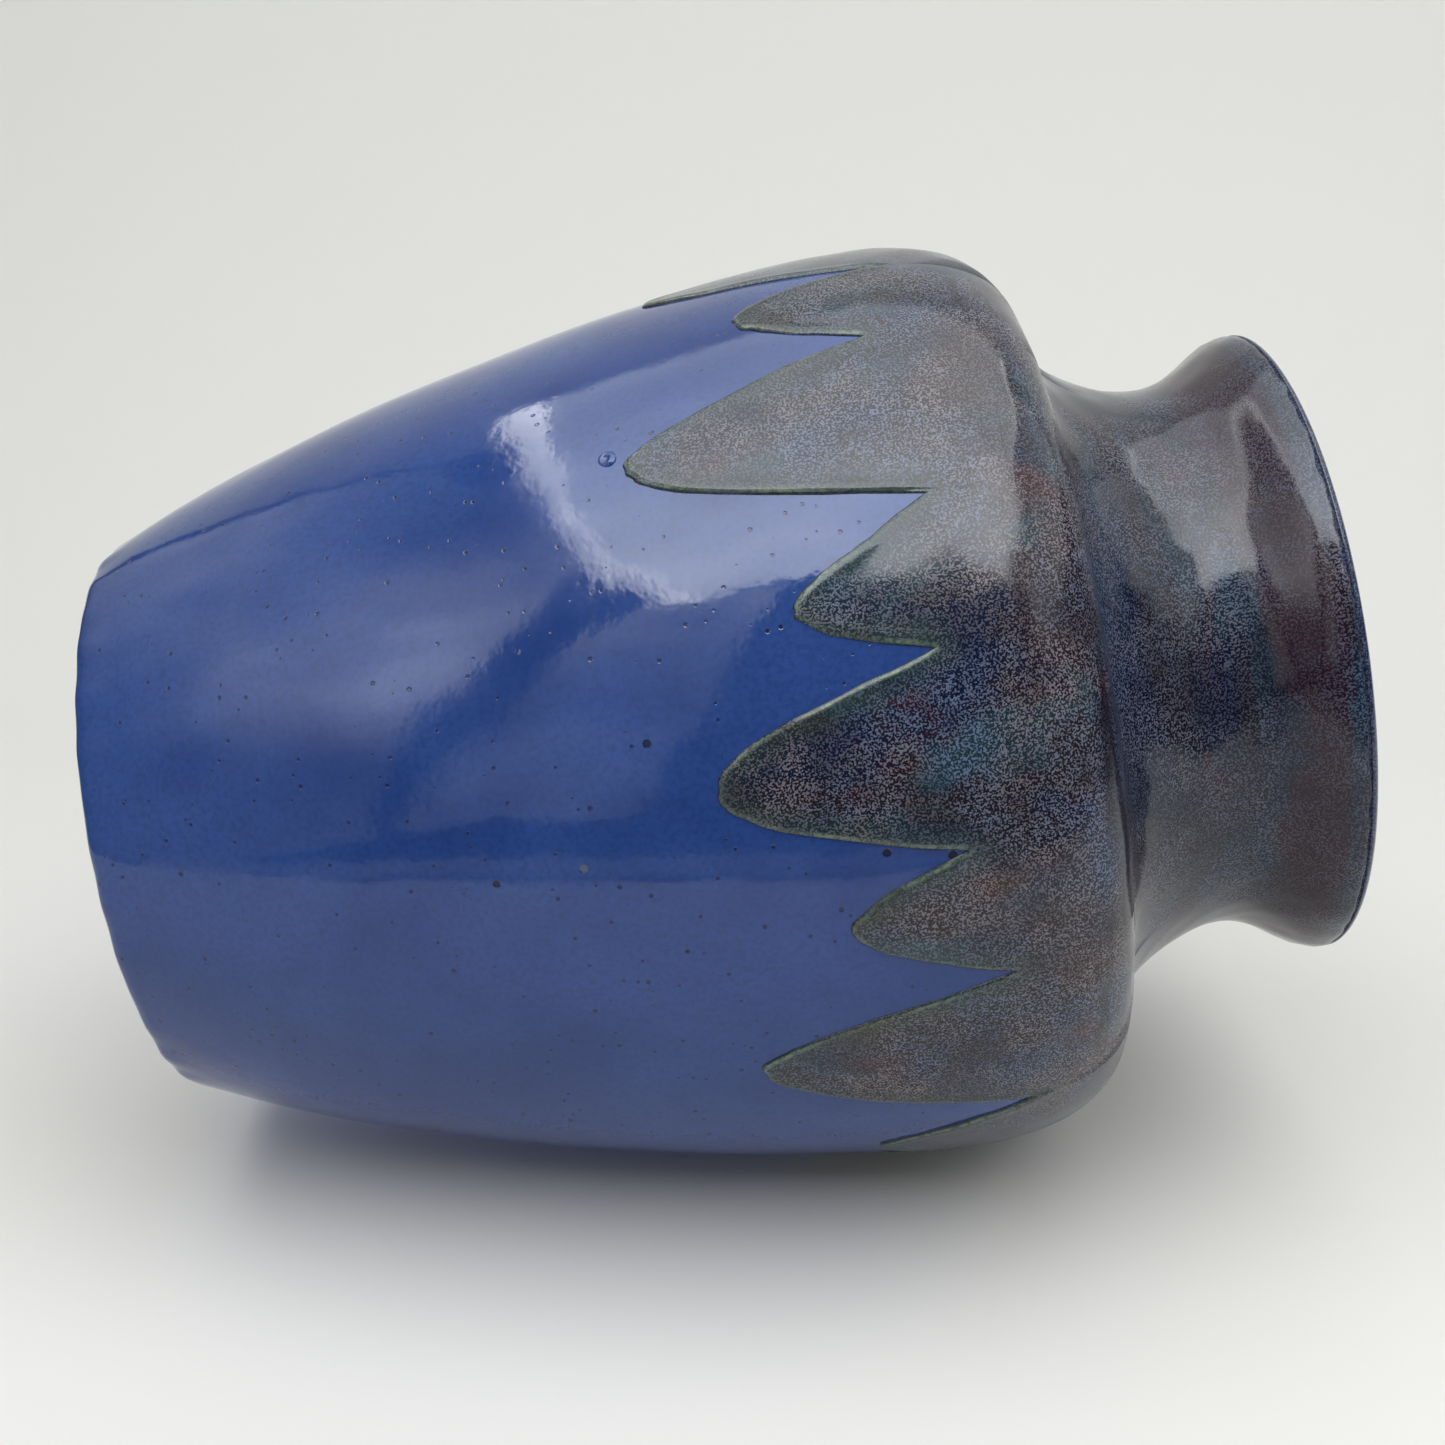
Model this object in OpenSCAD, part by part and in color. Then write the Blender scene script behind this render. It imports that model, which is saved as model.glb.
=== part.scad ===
// Stoneware vase: a thrown body, a separately thrown neck luted onto its shoulder,
// a blue glaze coat, a mottled overglaze that hangs in tongues, and glaze inside and underneath.
// Millimetres. The vase stands upright on z = 0, and its axis is the Z axis.

/* [Body] */
// Diameter of the wall just above the foot
foot_d = 99; // [92:1:106]
// Largest diameter, high on the belly
belly_d = 157; // [150:1:164]
// Height of the largest diameter
belly_z = 133; // [128:1:137]
// Diameter where the shoulder has turned in and runs flat
shoulder_d = 128; // [124:1:132]
// Height of the flat of the shoulder
shoulder_z = 158; // [156:1:160]

/* [Neck] */
// Diameter of the waist of the neck
neck_d = 94.5; // [90:0.5:98]
// Height of the waist of the neck
neck_z = 181; // [178:1:183]
// Diameter of the flared lip
lip_d = 109; // [104:0.5:112]
// Diameter of the crest that runs round the top of the lip
crest_d = 102; // [98:1:104]
// Height of the whole vase
height = 200; // [198:1:204]

/* [Clay] */
// Thickness of the wall, glaze included
wall = 5.5; // [4.5:0.5:6.5]
// Thickness of the floor above the foot recess
floor_t = 7; // [5:0.5:9]
// Width of the unglazed ring that the vase stands on
foot_ring_w = 8; // [6:0.5:10]
// Depth of the recess inside the foot ring
recess_depth = 3; // [2:0.5:4]

/* [Glaze] */
// Thickness of each glaze coat on the clay
glaze_t = 0.5; // [0.4:0.1:0.7]
// Thickness of the mottled overglaze
overglaze_t = 0.6; // [0.4:0.1:0.8]
// Number of hanging tongues, long and short in turn
tongues = 18; // [12:2:24]
// Height of the tips of the long tongues
long_tip_z = 97; // [92:1:102]
// Height of the tips of the short tongues
short_tip_z = 114; // [110:1:118]
// Height of the valleys between the tongues
valley_z = 135; // [132:1:140]
// Direction of the first tongue about the axis, in degrees
first_tongue = 6; // [0:1:19]

/* [Hidden] */
$fn = 96;

// Radii of the outer form
foot_r = foot_d / 2;
belly_r = belly_d / 2;
shoulder_r = shoulder_d / 2;
neck_r = neck_d / 2;
lip_r = lip_d / 2;
crest_r = crest_d / 2;

// The edge of the foot is rounded, and the wall leaves it at this lean
foot_round = 3;
foot_lean = 0.46;
arc_handle = 0.5523;
ring_r = foot_r - foot_round;
// The lip is widest this far below the crest
lip_round = 1.5;
lip_z = height - lip_round;

// Lengths of the curves' handles, which set how full each stretch of the form is
wall_start = 37;
belly_below = 31;
belly_above = 16.5;
shoulder_out = 8.5;
shoulder_in = 9;
waist_below = 9;
waist_above = 8.5;
lip_below = 5.5;
lip_above = 1;
crest_out = 2;
crest_in = 5;
throat_above = 12;

// Cubic curves of the finished outer form, from the foot up to the mouth, as [radius, height]
foot_curve = [
    [ring_r, 0],
    [ring_r + foot_round * arc_handle, 0],
    [foot_r - foot_lean * foot_round * arc_handle, foot_round * (1 - arc_handle)],
    [foot_r, foot_round]
];
wall_curve = [
    [foot_r, foot_round],
    [foot_r + foot_lean * wall_start, foot_round + wall_start],
    [belly_r, belly_z - belly_below],
    [belly_r, belly_z]
];
shoulder_curve = [
    [belly_r, belly_z],
    [belly_r, belly_z + belly_above],
    [shoulder_r + shoulder_out, shoulder_z],
    [shoulder_r, shoulder_z]
];
hollow_curve = [
    [shoulder_r, shoulder_z],
    [shoulder_r - shoulder_in, shoulder_z],
    [neck_r, neck_z - waist_below],
    [neck_r, neck_z]
];
flare_curve = [
    [neck_r, neck_z],
    [neck_r, neck_z + waist_above],
    [lip_r, lip_z - lip_below],
    [lip_r, lip_z]
];
crest_curve = [
    [lip_r, lip_z],
    [lip_r, lip_z + lip_above],
    [crest_r + crest_out, height],
    [crest_r, height]
];
throat_curve = [
    [crest_r, height],
    [crest_r - crest_in, height],
    [neck_r - wall, neck_z + throat_above],
    [neck_r - wall, neck_z]
];

// The glaze ends this far round the rounded edge of the foot, just above the ground
foot_start = 0.22;
// The neck is luted on this far along the hollow above the shoulder
joint_at = 0.45;
// Steps that each curve is drawn in
foot_steps = 4;
wall_steps = 16;
shoulder_steps = 10;
hollow_steps = 5;
waist_steps = 6;
flare_steps = 8;
crest_steps = 5;
throat_steps = 10;
corner_steps = 6;
// The overglaze starts this far up the wall, in whole steps
tongue_start = 10 / wall_steps;
// Steps down the side of a gap between tongues, and how full the tongues are
gap_steps = 8;
leaf_power = 1.45;
// A gap is cut this far past the overglaze
cut_past = 5;
// The inside wall starts this far up the wall, above the rounded corner of the floor
floor_corner = 0.1;
// The corner takes this much of the floor, with handles along the floor and up the wall
corner_w = 7;
corner_floor = 4.5;
corner_wall = [1.2, 3];

function bezier(c, t) =
    pow(1 - t, 3) * c[0]
    + 3 * pow(1 - t, 2) * t * c[1]
    + 3 * (1 - t) * t * t * c[2]
    + pow(t, 3) * c[3];
function bezier_slope(c, t) =
    pow(1 - t, 2) * (c[1] - c[0])
    + 2 * (1 - t) * t * (c[2] - c[1])
    + t * t * (c[3] - c[2]);
// Point of a curve moved outwards, along its normal, by the depth d
function skin(c, t, d) =
    let (s = bezier_slope(c, t), n = [s[1], -s[0]] / norm(s))
    bezier(c, t) + d * n;
// Points along a curve from t0 to t1, moved outwards by d
function run(c, d, steps, t0 = 0, t1 = 1) =
    [for (i = [0 : steps]) skin(c, t0 + (t1 - t0) * i / steps, d)];
function reverse(list) = [for (i = [len(list) - 1 : -1 : 0]) list[i]];
// The same list without its first point, where it would repeat the last one of the run before
function tail(list) = [for (i = [1 : len(list) - 1]) list[i]];

// Outer form from the foot to the luted joint, and on from there to the lip
function below_joint(d) = concat(
    run(foot_curve, d, foot_steps, foot_start, 1),
    tail(run(wall_curve, d, wall_steps)),
    tail(run(shoulder_curve, d, shoulder_steps)),
    tail(run(hollow_curve, d, hollow_steps, 0, joint_at))
);
function above_joint(d) = concat(
    run(hollow_curve, d, waist_steps, joint_at, 1),
    tail(run(flare_curve, d, flare_steps))
);
// The part of the outer form that the overglaze covers, from below its longest tongues to the lip
function overglaze_run(d) = concat(
    run(wall_curve, d, wall_steps * (1 - tongue_start), tongue_start, 1),
    tail(run(shoulder_curve, d, shoulder_steps)),
    tail(run(hollow_curve, d, hollow_steps, 0, joint_at)),
    tail(above_joint(d))
);
// Inside wall at the depth d, from above the corner of the floor to the joint
function inside_below(d) = concat(
    run(wall_curve, d, wall_steps, floor_corner, 1),
    tail(run(shoulder_curve, d, shoulder_steps)),
    tail(run(hollow_curve, d, hollow_steps, 0, joint_at))
);
// Inside of the neck from the crest down to the joint: t is the glaze still to be laid on
function inside_above(t) = concat(
    run(throat_curve, -t, throat_steps),
    tail(reverse(run(hollow_curve, t - wall, waist_steps, joint_at, 1)))
);

// The stepped seat of the neck on the shoulder, from the outside in
joint_out = skin(hollow_curve, joint_at, -glaze_t);
joint_in = skin(hollow_curve, joint_at, glaze_t - wall);
joint_mid = (joint_out[0] + joint_in[0]) / 2;
seat = [[joint_mid, joint_out[1]], [joint_mid, joint_in[1]]];

// The floor inside, level out to a rounded corner
floor_z = recess_depth + floor_t;
function floor_run(t) =
    let (
        up = skin(wall_curve, floor_corner, t - wall),
        level = floor_z - t,
        edge = up[0] - corner_w
    )
    run([[edge, level], [edge + corner_floor, level], up - corner_wall, up], 0, corner_steps);

// The ring that the vase stands on: its inner edge is worn round, its outer edge is cut to the glaze
recess_r = ring_r - foot_ring_w;
glaze_end = skin(foot_curve, foot_start, 0);
inner_edge = [0.8, 0.4];
outer_edge = 0.6;

module turned(points) {
    rotate_extrude()
        polygon(points);
}

module body() {
    color("tan")
        turned(concat(
            [[0, recess_depth], [recess_r, recess_depth]],
            [[recess_r + inner_edge[0], inner_edge[1]], [recess_r + 2 * inner_edge[0], 0]],
            [[glaze_end[0] - outer_edge, 0], glaze_end],
            below_joint(-glaze_t),
            seat,
            reverse(inside_below(glaze_t - wall)),
            tail(reverse(floor_run(glaze_t))),
            [[0, floor_z - glaze_t]]
        ));
}

module neck() {
    color("wheat")
        turned(concat(
            reverse(seat),
            above_joint(-glaze_t),
            tail(run(crest_curve, -glaze_t, crest_steps)),
            tail(inside_above(glaze_t))
        ));
}

module glaze_blue() {
    color("royalblue")
        turned(concat(
            below_joint(0),
            tail(above_joint(0)),
            reverse(above_joint(-glaze_t)),
            tail(reverse(below_joint(-glaze_t)))
        ));
}

// One gap between two tongues, as a flat outline of [across, height] that cuts outwards along +X.
// Its sides swell like leaves: they leave the valley steeply and come together at the tips.
function gap_side(tip_z, half) = [
    for (i = [0 : gap_steps])
        let (k = i / gap_steps)
        [half * (1 - k), tip_z + (valley_z - tip_z) * pow(k, leaf_power)]
];

module gap(left_z, right_z) {
    half = belly_r * sin(180 / tongues);
    low = skin(wall_curve, tongue_start, 0)[1] - cut_past;
    left = [for (p = gap_side(left_z, half)) [-p[0], p[1]]];
    rotate([90, 0, 90])
        linear_extrude(height = belly_r + cut_past)
            polygon(concat(
                [[-half, low]],
                left,
                tail(reverse(gap_side(right_z, half))),
                [[half, low]]
            ));
}

// Every second gap, starting with the gap after the tongue numbered first
module gaps(first, left_z, right_z) {
    step = 360 / tongues;
    for (i = [first : 2 : tongues - 1])
        rotate(first_tongue + step * (i + 0.5))
            gap(left_z, right_z);
}

module glaze_mottled() {
    color("dimgray")
        difference() {
            difference() {
                turned(concat(
                    overglaze_run(overglaze_t),
                    reverse(overglaze_run(0))
                ));
                gaps(0, long_tip_z, short_tip_z);
            }
            gaps(1, short_tip_z, long_tip_z);
        }
}

module glaze_liner() {
    color("mediumblue")
        turned(concat(
            [[0, floor_z]],
            floor_run(0),
            tail(inside_below(-wall)),
            tail(reverse(inside_above(0))),
            tail(reverse(run(crest_curve, 0, crest_steps))),
            run(crest_curve, -glaze_t, crest_steps),
            tail(inside_above(glaze_t)),
            tail(reverse(inside_below(glaze_t - wall))),
            tail(reverse(floor_run(glaze_t))),
            [[0, floor_z - glaze_t]]
        ));
}

module glaze_foot() {
    color("slateblue")
        translate([0, 0, recess_depth - glaze_t])
            cylinder(h = glaze_t, r = recess_r);
}

body();
neck();
glaze_blue();
glaze_mottled();
glaze_liner();
glaze_foot();
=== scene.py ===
import math

import bpy
import numpy as np
from mathutils import Matrix, Vector


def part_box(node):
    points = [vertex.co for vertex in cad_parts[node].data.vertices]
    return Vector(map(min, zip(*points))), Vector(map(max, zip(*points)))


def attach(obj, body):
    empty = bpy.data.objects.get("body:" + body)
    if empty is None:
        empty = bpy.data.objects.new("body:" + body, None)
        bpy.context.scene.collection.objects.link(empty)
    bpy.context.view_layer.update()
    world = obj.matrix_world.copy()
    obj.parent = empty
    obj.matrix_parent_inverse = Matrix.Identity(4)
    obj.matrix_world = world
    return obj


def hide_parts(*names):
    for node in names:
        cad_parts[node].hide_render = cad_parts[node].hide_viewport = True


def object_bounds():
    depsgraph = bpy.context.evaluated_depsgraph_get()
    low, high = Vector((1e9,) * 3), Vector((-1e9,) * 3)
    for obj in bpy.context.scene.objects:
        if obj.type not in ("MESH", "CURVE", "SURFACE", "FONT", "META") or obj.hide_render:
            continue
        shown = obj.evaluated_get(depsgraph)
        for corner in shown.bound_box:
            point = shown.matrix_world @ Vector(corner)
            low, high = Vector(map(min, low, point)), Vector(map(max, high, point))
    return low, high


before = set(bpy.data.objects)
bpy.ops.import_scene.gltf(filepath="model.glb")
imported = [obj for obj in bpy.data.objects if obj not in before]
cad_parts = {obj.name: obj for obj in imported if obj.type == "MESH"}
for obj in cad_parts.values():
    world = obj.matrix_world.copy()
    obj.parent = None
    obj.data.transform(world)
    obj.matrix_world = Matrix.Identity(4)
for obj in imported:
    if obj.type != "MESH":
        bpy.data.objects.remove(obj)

cad_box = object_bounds()

# Sizes are in metres. MM keeps the small ones readable.
MM = 0.001
FULL_TURN = 2 * math.pi
HEIGHT = cad_box[1].z
BELLY_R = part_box("glaze_blue")[1].x
LIP_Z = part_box("glaze_blue")[1].z
RECESS_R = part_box("glaze_foot")[1].x
RECESS_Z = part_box("glaze_foot")[1].z
FLOOR_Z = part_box("glaze_liner")[0].z + 0.5 * MM

# The same driving sizes as the CAD's
GLAZE_T = 0.5 * MM
OVERGLAZE_T = 0.6 * MM
WALL = 5.5 * MM
FOOT_R = 49.5 * MM
BELLY_Z = 133 * MM
SHOULDER_R, SHOULDER_Z = 64 * MM, 158 * MM
NECK_R, NECK_Z = 47.25 * MM, 181 * MM
LIP_R = 54.5 * MM
CREST_R = 51 * MM

# Lengths of the curves' handles, as in the CAD
WALL_START = 37 * MM
BELLY_BELOW, BELLY_ABOVE = 31 * MM, 16.5 * MM
SHOULDER_OUT, SHOULDER_IN = 8.5 * MM, 9 * MM
WAIST_BELOW, WAIST_ABOVE = 9 * MM, 8.5 * MM
LIP_BELOW, LIP_ABOVE = 5.5 * MM, 1 * MM
CREST_OUT, CREST_IN = 2 * MM, 5 * MM
THROAT_ABOVE = 12 * MM

# How far the coats' faces lie under the finished form, so that their swells stay inside the CAD's box
BLUE_SINK = 0.12 * MM
OVERGLAZE_SINK = 0.16 * MM
LINER_SINK = 0.2 * MM

# How far the coats' hidden backs, and the clay behind them, lie under the same form
BLUE_BACK = 0.49 * MM
GLAZE_BACK = 0.45 * MM
CLAY_BACK = 0.5 * MM

# How far from the axis the innermost ring lies
AXIS_GAP = 1.5 * MM


# ---------------------------------------------------------------- outer form

def curve(*points):
    """The four (radius, height) points of a cubic curve."""
    return np.array(points)


FOOT_ROUND = 3 * MM
FOOT_LEAN = 0.46
ARC = 0.5523
FOOT_CURVE = curve(
    (FOOT_R - FOOT_ROUND, 0),
    (FOOT_R - FOOT_ROUND * (1 - ARC), 0),
    (FOOT_R - FOOT_LEAN * FOOT_ROUND * ARC, FOOT_ROUND * (1 - ARC)),
    (FOOT_R, FOOT_ROUND),
)
WALL_CURVE = curve(
    (FOOT_R, FOOT_ROUND),
    (FOOT_R + FOOT_LEAN * WALL_START, FOOT_ROUND + WALL_START),
    (BELLY_R, BELLY_Z - BELLY_BELOW),
    (BELLY_R, BELLY_Z),
)
SHOULDER_CURVE = curve(
    (BELLY_R, BELLY_Z),
    (BELLY_R, BELLY_Z + BELLY_ABOVE),
    (SHOULDER_R + SHOULDER_OUT, SHOULDER_Z),
    (SHOULDER_R, SHOULDER_Z),
)
HOLLOW_CURVE = curve(
    (SHOULDER_R, SHOULDER_Z),
    (SHOULDER_R - SHOULDER_IN, SHOULDER_Z),
    (NECK_R, NECK_Z - WAIST_BELOW),
    (NECK_R, NECK_Z),
)
FLARE_CURVE = curve(
    (NECK_R, NECK_Z),
    (NECK_R, NECK_Z + WAIST_ABOVE),
    (LIP_R, LIP_Z - LIP_BELOW),
    (LIP_R, LIP_Z),
)
CREST_CURVE = curve(
    (LIP_R, LIP_Z),
    (LIP_R, LIP_Z + LIP_ABOVE),
    (CREST_R + CREST_OUT, HEIGHT),
    (CREST_R, HEIGHT),
)
THROAT_CURVE = curve(
    (CREST_R, HEIGHT),
    (CREST_R - CREST_IN, HEIGHT),
    (NECK_R - WALL, NECK_Z + THROAT_ABOVE),
    (NECK_R - WALL, NECK_Z),
)


def sample(points, t0=0.0, t1=1.0, count=160):
    """Points of a cubic curve and its outward normals, each as an array of (radius, height)."""
    t = np.linspace(t0, t1, count)[:, None]
    a, b, c, d = points
    place = (1 - t) ** 3 * a + 3 * (1 - t) ** 2 * t * b + 3 * (1 - t) * t * t * c + t ** 3 * d
    slope = (1 - t) ** 2 * (b - a) + 2 * (1 - t) * t * (c - b) + t * t * (d - c)
    slope /= np.linalg.norm(slope, axis=1)[:, None]
    return place, np.stack([slope[:, 1], -slope[:, 0]], axis=1)


class Path:
    """A profile as one line, followed by its length, with an outward normal at every point."""

    def __init__(self, stretches):
        place = np.concatenate([p for p, _ in stretches])
        normal = np.concatenate([n for _, n in stretches])
        step = np.r_[0, np.linalg.norm(np.diff(place, axis=0), axis=1)]
        keep = np.r_[True, step[1:] > 1e-9]
        self.place, self.normal = place[keep], normal[keep]
        self.s = np.cumsum(step[keep])
        self.length = self.s[-1]

    def at(self, s, depth=0.0):
        """Radius and height at the length s, moved outwards by depth."""
        r, z = (np.interp(s, self.s, self.place[:, i]) for i in (0, 1))
        nr, nz = (np.interp(s, self.s, self.normal[:, i]) for i in (0, 1))
        size = np.hypot(nr, nz)
        return r + depth * nr / size, z + depth * nz / size

    def s_at_height(self, z):
        """Length at a height, below the flat of the shoulder."""
        top = np.argmax(self.place[:, 1] > SHOULDER_Z - 0.01 * MM)
        return np.interp(z, self.place[:top, 1], self.s[:top])


# Where on the foot's round edge the glaze starts, as a share of that curve
GLAZE_START = 0.06
outside = Path([
    sample(FOOT_CURVE, GLAZE_START, 1),
    sample(WALL_CURVE, count=500),
    sample(SHOULDER_CURVE, count=260),
    sample(HOLLOW_CURVE, count=260),
    sample(FLARE_CURVE, count=200),
    sample(CREST_CURVE, count=60),
])
from_lip = np.hypot(outside.place[:, 0] - LIP_R, outside.place[:, 1] - LIP_Z)
LIP_S = outside.s[np.argmin(from_lip)]


# ---------------------------------------------------------------- relief

USUAL_R = 0.07


def ripples(seed, around, along, count=14):
    """A smooth uneven surface, about -1 to 1, as a function of angle and length.
    around and along are the shortest and longest waves in metres, at the usual radius."""
    draw = np.random.default_rng(seed)
    girth = FULL_TURN * USUAL_R
    n = np.round(girth / draw.uniform(*around, count)) * draw.choice([-1, 1], count)
    k = FULL_TURN / draw.uniform(*along, count)
    phase = draw.uniform(0, FULL_TURN, count)
    weight = draw.uniform(0.5, 1, count)
    weight /= np.linalg.norm(weight) / math.sqrt(0.5)

    def height(theta, s):
        total = 0
        for i in range(count):
            total = total + weight[i] * np.sin(n[i] * theta + k[i] * s + phase[i])
        return total

    return height


thrown = ripples(11, (0.045, 0.2), (0.022, 0.08))
rolling = ripples(12, (0.012, 0.03), (0.010, 0.03))


def form(theta, s):
    """How far the thrown wall swells or sinks from a true turned form."""
    return 0.10 * MM * thrown(theta, s) + 0.022 * MM * rolling(theta, s)


# ---------------------------------------------------------------- meshes

def ring_mesh(name, places, loop=False, poles=(None, None)):
    """A mesh from rows of rings. places is (rows, columns, 3). With loop, the last row joins the first.
    A pole is a height on the axis that closes the first or the last row."""
    step = np.abs(np.diff(places, axis=0)).max(axis=(1, 2))
    places = places[np.r_[True, step > 0.001 * MM]]
    rows, columns = places.shape[:2]
    vertices = list(map(tuple, places.reshape(-1, 3)))
    index = np.arange(rows * columns).reshape(rows, columns)
    last = rows if loop else rows - 1
    low, high = index[:last], np.roll(index, -1, axis=0)[:last]
    faces = np.stack([low, np.roll(low, -1, axis=1), np.roll(high, -1, axis=1), high], axis=-1)
    faces = faces.reshape(-1, 4).tolist()
    for pole, row, turn in ((poles[0], index[0], 1), (poles[1], index[-1], -1)):
        if pole is None:
            continue
        vertices.append((0, 0, pole))
        tip = len(vertices) - 1
        for a, b in zip(row, np.roll(row, -1)):
            faces.append([tip, b, a][::turn])
    mesh = bpy.data.meshes.new(name)
    mesh.from_pydata(vertices, [], faces)
    mesh.polygons.foreach_set("use_smooth", [True] * len(mesh.polygons))
    mesh.update()
    piece = bpy.data.objects.new(name, mesh)
    bpy.context.collection.objects.link(piece)
    return piece


def all_round(columns):
    """The angles of a ring's columns."""
    return np.arange(columns) * FULL_TURN / columns


def turn(theta, r, z):
    """Points from angle, radius and height, broadcast together."""
    theta, r, z = np.broadcast_arrays(theta, r, z)
    return np.stack([r * np.cos(theta), r * np.sin(theta), z], axis=-1)


def add_values(piece, name, values):
    """One number for each vertex, for the materials to read."""
    layer = piece.data.attributes.new(name, "FLOAT", "POINT")
    layer.data.foreach_set("value", np.asarray(values, dtype=np.float32).ravel())


# ---------------------------------------------------------------- tongues of the overglaze

TONGUES = 18
SIDE_STEPS = 30
wobble = ripples(21, (0.004, 0.011), (0.01, 0.02), 10)
shake = ripples(22, (0.0015, 0.004), (0.01, 0.02), 12)


def tongue_list():
    """(tip angle, tip height, valley angle after it, valley height, fullness before and after the tip).
    The ones on the +X side are as seen, and the others go on in the same rhythm."""
    seen = [
        (-53.7, 0.560, -44.6, 0.655, 2.2, 1.9),
        (-33.0, 0.461, -21.3, 0.674, 1.45, 2.3),
        (-11.3, 0.565, -4.6, 0.660, 1.2, 2.1),
        (6.0, 0.493, 16.6, 0.664, 1.6, 2.5),
        (24.1, 0.573, 32.1, 0.690, 1.6, 1.9),
        (43.6, 0.494, 55.8, 0.702, 1.65, 2.2),
        (68.0, 0.575, 77.5, 0.680, 1.45, 1.9),
    ]
    draw = np.random.default_rng(5)
    hidden = TONGUES - len(seen)
    first, last = seen[-1][0], seen[0][0] + 360
    rows = []
    for i in range(1, hidden + 1):
        angle = first + (last - first) * i / (hidden + 1) + draw.uniform(-1.5, 1.5)
        long = i % 2 == 1
        rows.append((
            angle,
            (0.49 if long else 0.57) + draw.uniform(-0.012, 0.012),
            angle + (11.4 if long else 8.6) + draw.uniform(-1, 1),
            0.675 + draw.uniform(-0.018, 0.018),
            draw.uniform(1.35, 1.8),
            draw.uniform(1.8, 2.4),
        ))
    return seen + rows


def tongue_outline():
    """Angle and height of the lower edge of the overglaze, column by column, all the way round."""
    rows = tongue_list()
    angles, heights = [], []
    for i, (tip, low, valley, high, before, after) in enumerate(rows):
        valley_before, high_before = rows[i - 1][2:4]
        if i == 0:
            valley_before -= 360
        k = np.arange(SIDE_STEPS, 0, -1) / SIDE_STEPS
        angles.append(tip + (valley_before - tip) * k)
        heights.append(low + (high_before - low) * k ** before)
        k = np.arange(0, SIDE_STEPS) / SIDE_STEPS
        angles.append(tip + (valley - tip) * k)
        heights.append(low + (high - low) * k ** after)
    theta = np.radians(np.concatenate(angles))
    z = np.concatenate(heights) * HEIGHT
    z = z + 0.35 * MM * wobble(theta, 0) + 0.16 * MM * shake(theta, 0)
    theta = theta + (0.16 * MM * wobble(theta, 0.05) + 0.10 * MM * shake(theta, 0.05)) / BELLY_R
    return theta, z


def half_turn(angle):
    """The same angle between minus and plus half a turn."""
    return (angle + math.pi) % FULL_TURN - math.pi


def edge_distance(theta, s, edge_theta, edge_s, reach=70):
    """Distance over the surface from each point of a column grid to the outline.
    The stretches of the outline up to reach columns away are tried, and the nearest counts."""
    best = np.full(s.shape, 1.0)
    r = outside.at(s)[0]
    for shift in range(-reach, reach + 1):
        t0, t1 = (np.roll(edge_theta, -shift - i) for i in (0, 1))
        s0, s1 = (np.roll(edge_s, -shift - i) for i in (0, 1))
        ax, ay = half_turn(t0 - theta) * r, s0 - s
        bx, by = half_turn(t1 - theta) * r, s1 - s
        dx, dy = bx - ax, by - ay
        u = np.clip(-(ax * dx + ay * dy) / (dx * dx + dy * dy + 1e-15), 0, 1)
        best = np.minimum(best, np.hypot(ax + u * dx, ay + u * dy))
    return best


# ---------------------------------------------------------------- the pieces

def hidden_rows(low, high):
    """Lengths from high down to low, close together where the form is hollow or turns sharply."""
    most_turn, most_gap = math.radians(13), 20 * MM
    s = np.linspace(low, high, 2000)
    r, z = outside.at(s)
    angle = np.unwrap(np.arctan2(np.gradient(z), np.gradient(r)))
    need = np.cumsum(np.abs(np.diff(angle)) / most_turn + np.diff(s) / most_gap)
    need = np.r_[0, need]
    return np.interp(np.linspace(need[-1], 0, int(need[-1]) + 2), need, s)


def make_blue():
    """The blue coat: one closed skin from the foot ring to the lip, hidden part included."""
    columns = 600
    theta = all_round(columns)
    bare = outside.s_at_height(0.70 * HEIGHT)
    s = np.r_[
        np.linspace(0, 6 * MM, 10)[:-1],
        np.linspace(6 * MM, bare, 96)[:-1],
        np.linspace(bare, LIP_S, 24),
    ][:, None]
    fade = np.clip(s / (8 * MM), 0, 1)
    ragged = ripples(13, (0.012, 0.07), (0.03, 0.09), 10)
    uneven_foot = 0.36 * MM * (0.5 + ragged(theta, s)) * (1 - fade)
    depth = form(theta, s) * fade - BLUE_SINK + uneven_foot * np.clip(s / (1.5 * MM), 0, 1)
    r, z = outside.at(np.broadcast_to(s, depth.shape), depth)
    outer = turn(theta, r, z)
    back_s = hidden_rows(0, LIP_S)[:, None]
    r, z = outside.at(np.broadcast_to(back_s, (len(back_s), columns)), -BLUE_BACK)
    return ring_mesh("blue_coat", np.concatenate([outer, turn(theta, r, z)]), loop=True)


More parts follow.
